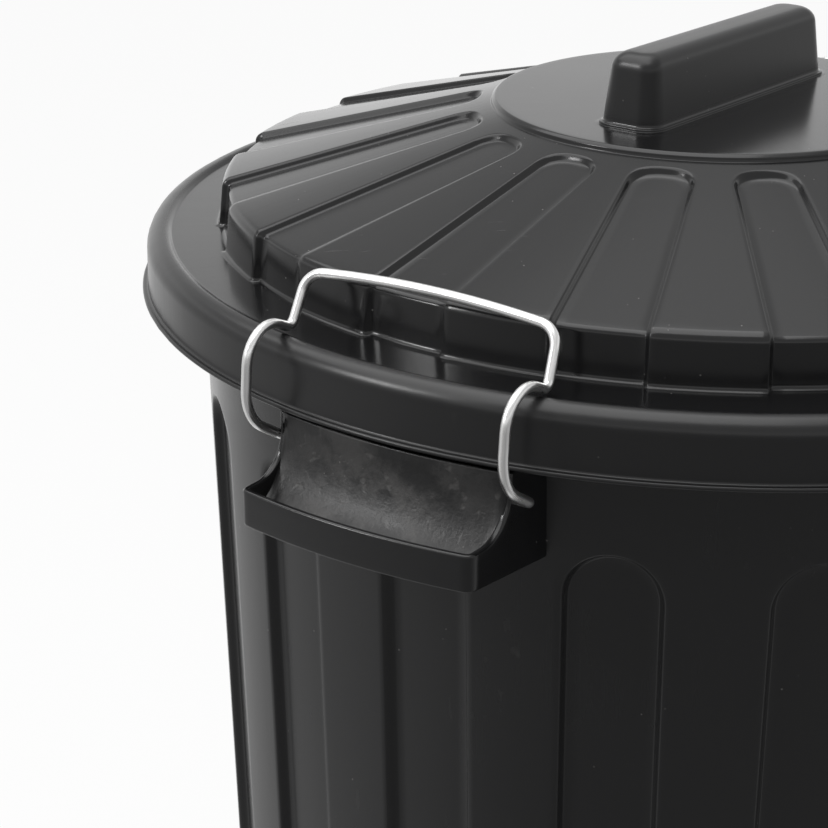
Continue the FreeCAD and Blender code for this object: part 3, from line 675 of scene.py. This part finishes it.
def tube(points, radius, sides):
    """Circles square to a path, each turned from the last by the least angle, and the way along the path."""
    tangent = np.gradient(points, axis=0)
    tangent /= np.linalg.norm(tangent, axis=1, keepdims=True)
    across = np.empty_like(points)
    across[0] = np.cross(tangent[0], [0, 0, 1.0])
    for index in range(1, len(points)):
        moved = across[index - 1] - tangent[index] * (across[index - 1] @ tangent[index])
        across[index] = moved / np.linalg.norm(moved)
    beside = np.cross(tangent, across)
    angle = np.linspace(0, 2 * math.pi, sides + 1)
    circle = across[:, None] * np.cos(angle)[:, None] + beside[:, None] * np.sin(angle)[:, None]
    way = np.concatenate([[0], np.cumsum(np.linalg.norm(np.diff(points, axis=0), axis=1))])
    return points[:, None] + radius * circle, way


# Finishes

class Value:
    """A shader socket. Arithmetic on it adds Math nodes."""

    def __init__(self, shader, socket):
        self.shader = shader
        self.socket = socket

    def _math(self, operation, *values):
        return self.shader.add("ShaderNodeMath", dict(enumerate(values)), operation=operation)

    def __add__(self, other):
        return self._math("ADD", self, other)

    __radd__ = __add__

    def __sub__(self, other):
        return self._math("SUBTRACT", self, other)

    def __rsub__(self, other):
        return self._math("SUBTRACT", other, self)

    def __mul__(self, other):
        return self._math("MULTIPLY", self, other)

    __rmul__ = __mul__

    def __truediv__(self, other):
        return self._math("DIVIDE", self, other)

    def __pow__(self, other):
        return self._math("POWER", self, other)

    def above(self, low, high):
        """Zero below low and one above high, with a smooth rise between."""
        return self.shader.add("ShaderNodeMapRange", {"Value": self, "From Min": low, "From Max": high},
                               interpolation_type="SMOOTHSTEP")


class Shader:
    """A material's node tree."""

    def __init__(self, tree):
        self.tree = tree
        tree.nodes.clear()

    def add(self, kind, inputs=None, output=0, **settings):
        """Adds a node: its settings first, then the values or links of its sockets."""
        node = self.tree.nodes.new(kind)
        for name, setting in settings.items():
            if name == "stops":
                ramp = node.color_ramp
                while len(ramp.elements) < len(setting):
                    ramp.elements.new(0.5)
                for element, (place, tone) in zip(ramp.elements, setting):
                    element.position = place
                    element.color = (*tone, 1.0) if hasattr(tone, "__len__") else (tone, tone, tone, 1.0)
            else:
                setattr(node, name, setting)
        for name, value in (inputs or {}).items():
            if isinstance(value, Value):
                self.tree.links.new(value.socket, node.inputs[name])
            elif value is not None:
                node.inputs[name].default_value = value
        return Value(self, node.outputs[output]) if len(node.outputs) else None

    def place(self):
        return self.add("ShaderNodeTexCoord", output="Object")

    def axes(self, vector):
        node = self.add("ShaderNodeSeparateXYZ", {0: vector}).socket.node
        return [Value(self, node.outputs[index]) for index in range(3)]

    def joined(self, x, y, z):
        return self.add("ShaderNodeCombineXYZ", {0: x, 1: y, 2: z})

    def noise(self, vector, scale, detail=2.0, rough=0.5):
        return self.add("ShaderNodeTexNoise", {"Vector": vector, "Scale": scale, "Detail": detail,
                                               "Roughness": rough})

    def blend(self, share, first, second):
        """A mix of two colours by a share."""
        node = self.add("ShaderNodeMix", data_type="RGBA").socket.node
        for name, value in (("Factor_Float", share), ("A_Color", first), ("B_Color", second)):
            socket = next(item for item in node.inputs if item.identifier == name)
            if isinstance(value, Value):
                self.tree.links.new(value.socket, socket)
            else:
                socket.default_value = value
        return Value(self, next(item for item in node.outputs if item.identifier == "Result_Color"))

    def finish(self, surface):
        self.add("ShaderNodeOutputMaterial", {"Surface": surface})


def new_shader(name):
    material = bpy.data.materials.new(name)
    material.use_nodes = True
    return material, Shader(material.node_tree)


def rgba(tone):
    return (*tone, 1.0)


def black_plastic(name, finish, flow, gloss, pocket=None, held=None):
    """Semi-gloss black polypropylene: flow lines from the mould, cloudy gloss, fine scuffs and dust.

    With flow "up" the lines run up the wall, and with "out" they run out from the middle. Gloss is
    the least roughness. A pocket, given as grip sizes, is matt with the cloudy marks of a place filled
    last. These marks are painted lighter towards the pocket's middle and its bottom as a painted highlight,
    and small pits in it are painted lighter as painted glints. Beyond the radius and above the level of
    held, the finish is rougher, from handling.
    """
    material, shader = new_shader(name)
    place = shader.place()
    x, y, z = shader.axes(place)
    angle = shader.add("ShaderNodeMath", {0: y, 1: x}, operation="ARCTAN2")
    span = shader.add("ShaderNodeVectorMath", {0: shader.joined(x, y, 0.0)}, output="Value",
                      operation="LENGTH")
    run = z if flow == "up" else span
    streaks = shader.noise(shader.joined(angle * 60.0, run * 3.0, 0.0), 1.0, 3.0, 0.55)
    clouds = shader.noise(place, 14.0, 3.0)
    grain = shader.noise(place, 900.0, 2.0)
    scuffs = shader.noise(shader.joined(x * 420.0 + y * 160.0, y * 42.0, z * 42.0), 1.0, 3.0, 0.55)
    scuff_mask = scuffs.above(0.66, 0.74) * clouds.above(0.48, 0.62)
    specks = shader.add("ShaderNodeTexVoronoi", {"Vector": place, "Scale": 170.0}, output="Distance")
    sparse = shader.noise(place, 31.0, 1.0).above(0.55, 0.68)
    dust = (1 - specks.above(0.035, 0.075)) * sparse
    tone = shader.blend(dust * 0.55 + scuff_mask * 0.03, rgba(finish.plastic), rgba(finish.dust))
    rough = gloss + clouds * 0.06 + streaks * 0.06 + scuff_mask * 0.12 + dust * 0.4
    height = streaks * 0.12 + grain * 0.05 + clouds * 0.4 + dust * 0.2
    if pocket:
        marks = shader.noise(place, 34.0, 8.0, 0.64)
        # Small pits in the pocket: they dent the bump, and the tone paints them lighter as painted glints.
        dents_and_painted_glints = shader.noise(place, 210.0, 2.0).above(0.6, 0.72) * marks.above(0.46, 0.6)
        beside = shader.add("ShaderNodeMath", {0: y}, operation="ABSOLUTE")
        inner = pocket.width / 2 - pocket.wall
        base = pocket.lip_top - pocket.lip_height
        inside = (span.above(pocket.pocket - 0.001, pocket.pocket) * z.above(base + 0.0018, base + 0.0024)
                  * (1 - span.above(pocket.reach - 0.0045, pocket.reach - 0.0035))
                  * (1 - beside.above(inner - 0.002, inner)))
        # Painted highlight: the marks are painted lighter in the middle across the grip and towards the bottom,
        # where the scooped floor faces up to the light.
        centre = (1 - beside.above(0.012, 0.05) * 0.7) * (1 - z.above(base + 0.01, base + 0.034) * 0.4)
        rough = rough + inside * (marks.above(0.35, 0.7) * 0.16 + 0.12)
        height = height + inside * (marks * 9.0 - dents_and_painted_glints * 2.5)
        # Tone of the pocket: its cloudy marks with the painted highlight, its pits painted lighter as painted
        # glints, and a slight grey.
        cloudy = marks.above(0.45, 0.62) * centre * 0.21 + dents_and_painted_glints * 0.1 + 0.006
        tone = shader.blend(inside * cloudy, tone, rgba(finish.dust))
    if held:
        radius, level = held
        rough = rough + span.above(radius, radius + 0.004) * 0.12 + z.above(level, level + 0.004) * 0.14
    bump = shader.add("ShaderNodeBump", {"Strength": 0.12, "Distance": 0.0012, "Height": height})
    surface = shader.add("ShaderNodeBsdfPrincipled", {
        "Base Color": tone, "Roughness": rough, "Normal": bump, "IOR": 1.5})
    shader.finish(surface)
    return material


def zinc_wire(name, finish):
    """Bright zinc on drawn wire: fine lines along the wire, with duller patches."""
    material, shader = new_shader(name)
    uv = shader.add("ShaderNodeTexCoord", output="UV")
    around, along, _ = shader.axes(uv)
    lines = shader.noise(shader.joined(around * 12.0, along * 14.0, 0.0), 1.0, 4.0, 0.6)
    patches = shader.noise(shader.joined(around * 3.0, along * 60.0, 0.0), 1.0, 3.0)
    dull = lines.above(0.46, 0.62) * 0.55 + patches.above(0.45, 0.75) * 0.15
    tone = shader.blend(dull, rgba(finish.zinc), (0.6, 0.6, 0.605, 1.0))
    bump = shader.add("ShaderNodeBump", {"Strength": 0.3, "Distance": 0.0003, "Height": lines})
    surface = shader.add("ShaderNodeBsdfPrincipled", {
        "Base Color": tone, "Roughness": 0.17 + lines * 0.16 + patches * 0.08, "Metallic": 1.0,
        "Normal": bump})
    shader.finish(surface)
    return material


def studio_floor(name, finish):
    """Pale floor: matt to the lamps, with a white glow to the camera that leaves the shadow in it."""
    material, shader = new_shader(name)
    rays = shader.add("ShaderNodeLightPath").socket.node
    seen = sum((Value(shader, rays.outputs[name]) for name in ("Is Glossy Ray", "Is Transmission Ray")),
               Value(shader, rays.outputs["Is Camera Ray"]))
    plain = shader.add("ShaderNodeBsdfDiffuse", {"Color": rgba(finish.floor)})
    white = shader.add("ShaderNodeEmission", {"Color": (1, 1, 1, 1), "Strength": 1.0})
    mixed = shader.add("ShaderNodeMixShader", {0: seen * 0.93, 1: plain, 2: white})
    shader.finish(mixed)
    return material


def dark_card(name, studio):
    """Dark in front and low down, lighter to the sides and the back, with a white band and grey above it.

    At the back the uppermost part is white again.
    """
    material, shader = new_shader(name)
    x, y, z = shader.axes(shader.place())
    ahead = x * -math.cos(studio.heading) + y * -math.sin(studio.heading)
    beside = x * -math.sin(studio.heading) + y * math.cos(studio.heading)
    turn = shader.add("ShaderNodeMath", {0: beside, 1: ahead}, operation="ARCTAN2")
    turn = shader.add("ShaderNodeMath", {0: turn}, operation="ABSOLUTE")
    sides = turn.above(math.radians(25), math.radians(85)) * (studio.card_side_tone - studio.card_tone)
    back = turn.above(math.radians(110), math.radians(165)) * (studio.card_back_tone - studio.card_side_tone)
    low = sides + back + studio.card_tone
    white = low + z.above(0.145 * studio.card_height, 0.23 * studio.card_height) * (1 - low)
    open_back = z.above(0.56 * studio.card_height, 0.6 * studio.card_height) * turn.above(
        math.radians(110), math.radians(140))
    upper = z.above(0.245 * studio.card_height, 0.3 * studio.card_height) * (1 - open_back)
    glow = shader.add("ShaderNodeEmission", {"Strength": white * (1 - upper * (1 - studio.card_top_tone))})
    shader.finish(glow)
    return material


def studio_world(studio):
    """White to the camera, reflections and clear things, and dimmer as light on matt surfaces."""
    world = bpy.data.worlds.new("studio")
    world.use_nodes = True
    shader = Shader(world.node_tree)
    rays = shader.add("ShaderNodeLightPath").socket.node
    seen = sum((Value(shader, rays.outputs[name]) for name in ("Is Glossy Ray", "Is Transmission Ray")),
               Value(shader, rays.outputs["Is Camera Ray"]))
    white = shader.add("ShaderNodeMath", {0: seen, 1: studio.fill}, operation="MAXIMUM")
    background = shader.add("ShaderNodeBackground", {"Color": (1, 1, 1, 1), "Strength": white})
    shader.add("ShaderNodeOutputWorld", {"Surface": background})
    return world


def stage_sheet(name, grid, material):
    """A plain stage surface from one grid of points."""
    rows, columns = grid.shape[:2]
    index = np.arange(rows * columns).reshape(rows, columns)
    quads = np.stack([index[:-1, :-1], index[:-1, 1:], index[1:, 1:], index[1:, :-1]], axis=-1)
    mesh = bpy.data.meshes.new(name)
    mesh.from_pydata(grid.reshape(-1, 3), [], quads.reshape(-1, 4).tolist())
    mesh.materials.append(material)
    sheet = bpy.data.objects.new(name, mesh)
    bpy.context.scene.collection.objects.link(sheet)
    return sheet


# Operators

class BIN_OT_tub(bpy.types.Operator):
    """Builds the tub's fluted shell"""
    bl_idname = "bin.tub"
    bl_label = "Build tub"

    def execute(self, context):
        scene = context.scene
        piece = mesh_piece("tub_shell", tub_grids(scene.bin_tub))
        piece.data.materials.append(black_plastic("tub_plastic", scene.bin_finish, "up", 0.2))
        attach(piece, "tub")
        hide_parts("tub")
        return {"FINISHED"}


class BIN_OT_grips(bpy.types.Operator):
    """Builds the two side grips"""
    bl_idname = "bin.grips"
    bl_label = "Build grips"

    def execute(self, context):
        scene = context.scene
        plastic = black_plastic("grip_plastic", scene.bin_finish, "up", 0.16, scene.bin_grip)
        for name, side in (("left_grip", -1), ("right_grip", 1)):
            piece = mesh_piece(name, *grip_grids(scene.bin_grip, scene.bin_tub, side))
            piece.data.materials.append(plastic)
            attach(piece, "tub")
            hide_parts("tub")
        return {"FINISHED"}


class BIN_OT_lid(bpy.types.Operator):
    """Builds the lid with its handle"""
    bl_idname = "bin.lid"
    bl_label = "Build lid"

    def execute(self, context):
        scene = context.scene
        piece = mesh_piece("lid_shell", lid_grids(scene.bin_lid))
        size = scene.bin_lid
        held = (size.lip_radius - size.lip_reach - size.bead_width, size.top - 0.03)
        piece.data.materials.append(black_plastic("lid_plastic", scene.bin_finish, "out", 0.12, held=held))
        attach(piece, "lid")
        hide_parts("lid")
        return {"FINISHED"}


class BIN_OT_clips(bpy.types.Operator):
    """Builds the two wire clips"""
    bl_idname = "bin.clips"
    bl_label = "Build wire clips"

    def execute(self, context):
        scene = context.scene
        zinc = zinc_wire("zinc_wire", scene.bin_finish)
        for body, side in (("left_clip", -1), ("right_clip", 1)):
            grid, way = tube(wire_points(scene.bin_clip, side), scene.bin_clip.wire / 2, 20)
            piece = mesh_piece(body + "_wire", [grid], [grid[0, :-1], grid[-1, :-1]])
            piece.data.materials.append(zinc)
            add_wire_map(piece, grid, way)
            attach(piece, body)
            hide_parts(body)
        return {"FINISHED"}


def add_wire_map(piece, grid, way):
    """Gives each corner of a tube its share round the wire and its way along it."""
    mesh = piece.data
    corners = np.empty(len(mesh.loops), dtype=np.int64)
    mesh.loops.foreach_get("vertex_index", corners)
    places = np.empty(len(mesh.vertices) * 3)
    mesh.vertices.foreach_get("co", places)
    places = places.reshape(-1, 3)[corners]
    flat = grid.reshape(-1, 3)
    spans = np.linalg.norm(places[:, None, :] - flat[None, ::grid.shape[1]], axis=2).argmin(axis=1)
    middle = grid[:, :-1].mean(axis=1)[spans]
    first = grid[spans, 0] - middle
    quarter = grid[spans, (grid.shape[1] - 1) // 4] - middle
    offset = places - middle
    around = np.arctan2((offset * quarter).sum(axis=1), (offset * first).sum(axis=1)) / (2 * math.pi)
    layer = mesh.uv_layers.new(name="wire")
    layer.data.foreach_set("uv", np.column_stack([around, way[spans]]).ravel())


class BIN_OT_stage(bpy.types.Operator):
    """Builds the floor, lamps and camera"""
    bl_idname = "bin.stage"
    bl_label = "Build studio"

    def execute(self, context):
        scene = context.scene
        studio = scene.bin_studio
        x, y = np.meshgrid(*[np.linspace(-1, 1, 3) * studio.floor_reach] * 2)
        stage_sheet("studio_floor", np.stack([x, y, 0 * x], axis=-1),
                    studio_floor("studio_floor", scene.bin_finish))

        # A dark card round the camera's side of the floor, which only reflections see.
        profile = np.array([(studio.card_start, 0.002), (studio.card_reach, 0.002),
                            (studio.card_reach, studio.card_height)])
        turn = studio.heading + math.pi + np.linspace(-1, 1, 49) * studio.card_spread
        card = stage_sheet("dark_card", np.stack(
            [profile[:, :1] * np.cos(turn), profile[:, :1] * np.sin(turn), profile[:, 1:] + 0 * turn], axis=-1),
            dark_card("dark_card", studio))
        card.visible_camera = card.visible_diffuse = card.visible_shadow = card.visible_transmission = False
        scene.world = studio_world(studio)

        for name, width, power, place in (
                ("ceiling_lamp", studio.lamp_size, studio.lamp_power, studio.lamp_place),
                ("side_lamp", studio.side_size, studio.side_power, studio.side_place)):
            light = bpy.data.lights.new(name, "AREA")
            light.size = width
            light.energy = power
            lamp = bpy.data.objects.new(name, light)
            lamp.location = place
            lamp.rotation_euler = (Vector((0, 0, TUB_HIGH.z)) - lamp.location).to_track_quat("-Z", "Y").to_euler()
            lamp.visible_camera = False
            scene.collection.objects.link(lamp)

        data = bpy.data.cameras.new("photo_camera")
        data.sensor_width = 36.0
        data.lens = studio.lens
        data.clip_end = 200.0
        camera = bpy.data.objects.new("photo_camera", data)
        scene.collection.objects.link(camera)
        ahead = Vector((math.cos(studio.heading) * math.cos(studio.pitch),
                        math.sin(studio.heading) * math.cos(studio.pitch), math.sin(studio.pitch)))
        camera.location = studio.camera_place
        camera.rotation_euler = ahead.to_track_quat("-Z", "Y").to_euler()
        scene.camera = camera
        scene.view_settings.view_transform = "Standard"
        return {"FINISHED"}


class BIN_PT_panel(bpy.types.Panel):
    """Lists the bin's builders."""
    bl_idname = "BIN_PT_panel"
    bl_label = "Lidded bin"
    bl_space_type = "VIEW_3D"
    bl_region_type = "UI"
    bl_category = "Bin"

    def draw(self, context):
        for operator in OPERATORS:
            self.layout.operator(operator.bl_idname)


GROUPS = {"bin_tub": TubSizes, "bin_grip": GripSizes, "bin_lid": LidSizes, "bin_clip": ClipSizes,
          "bin_finish": Finish, "bin_studio": Studio}
OPERATORS = (BIN_OT_tub, BIN_OT_grips, BIN_OT_lid, BIN_OT_clips, BIN_OT_stage)


def register():
    for group in GROUPS.values():
        bpy.utils.register_class(group)
    for name, group in GROUPS.items():
        setattr(bpy.types.Scene, name, PointerProperty(type=group))
    for operator in OPERATORS:
        bpy.utils.register_class(operator)
    bpy.utils.register_class(BIN_PT_panel)


def unregister():
    bpy.utils.unregister_class(BIN_PT_panel)
    for operator in reversed(OPERATORS):
        bpy.utils.unregister_class(operator)
    for name, group in GROUPS.items():
        delattr(bpy.types.Scene, name)
        bpy.utils.unregister_class(group)


def main():
    register()
    bpy.ops.bin.tub()
    bpy.ops.bin.grips()
    bpy.ops.bin.lid()
    bpy.ops.bin.clips()
    bpy.ops.bin.stage()


if __name__ == "__main__":
    main()
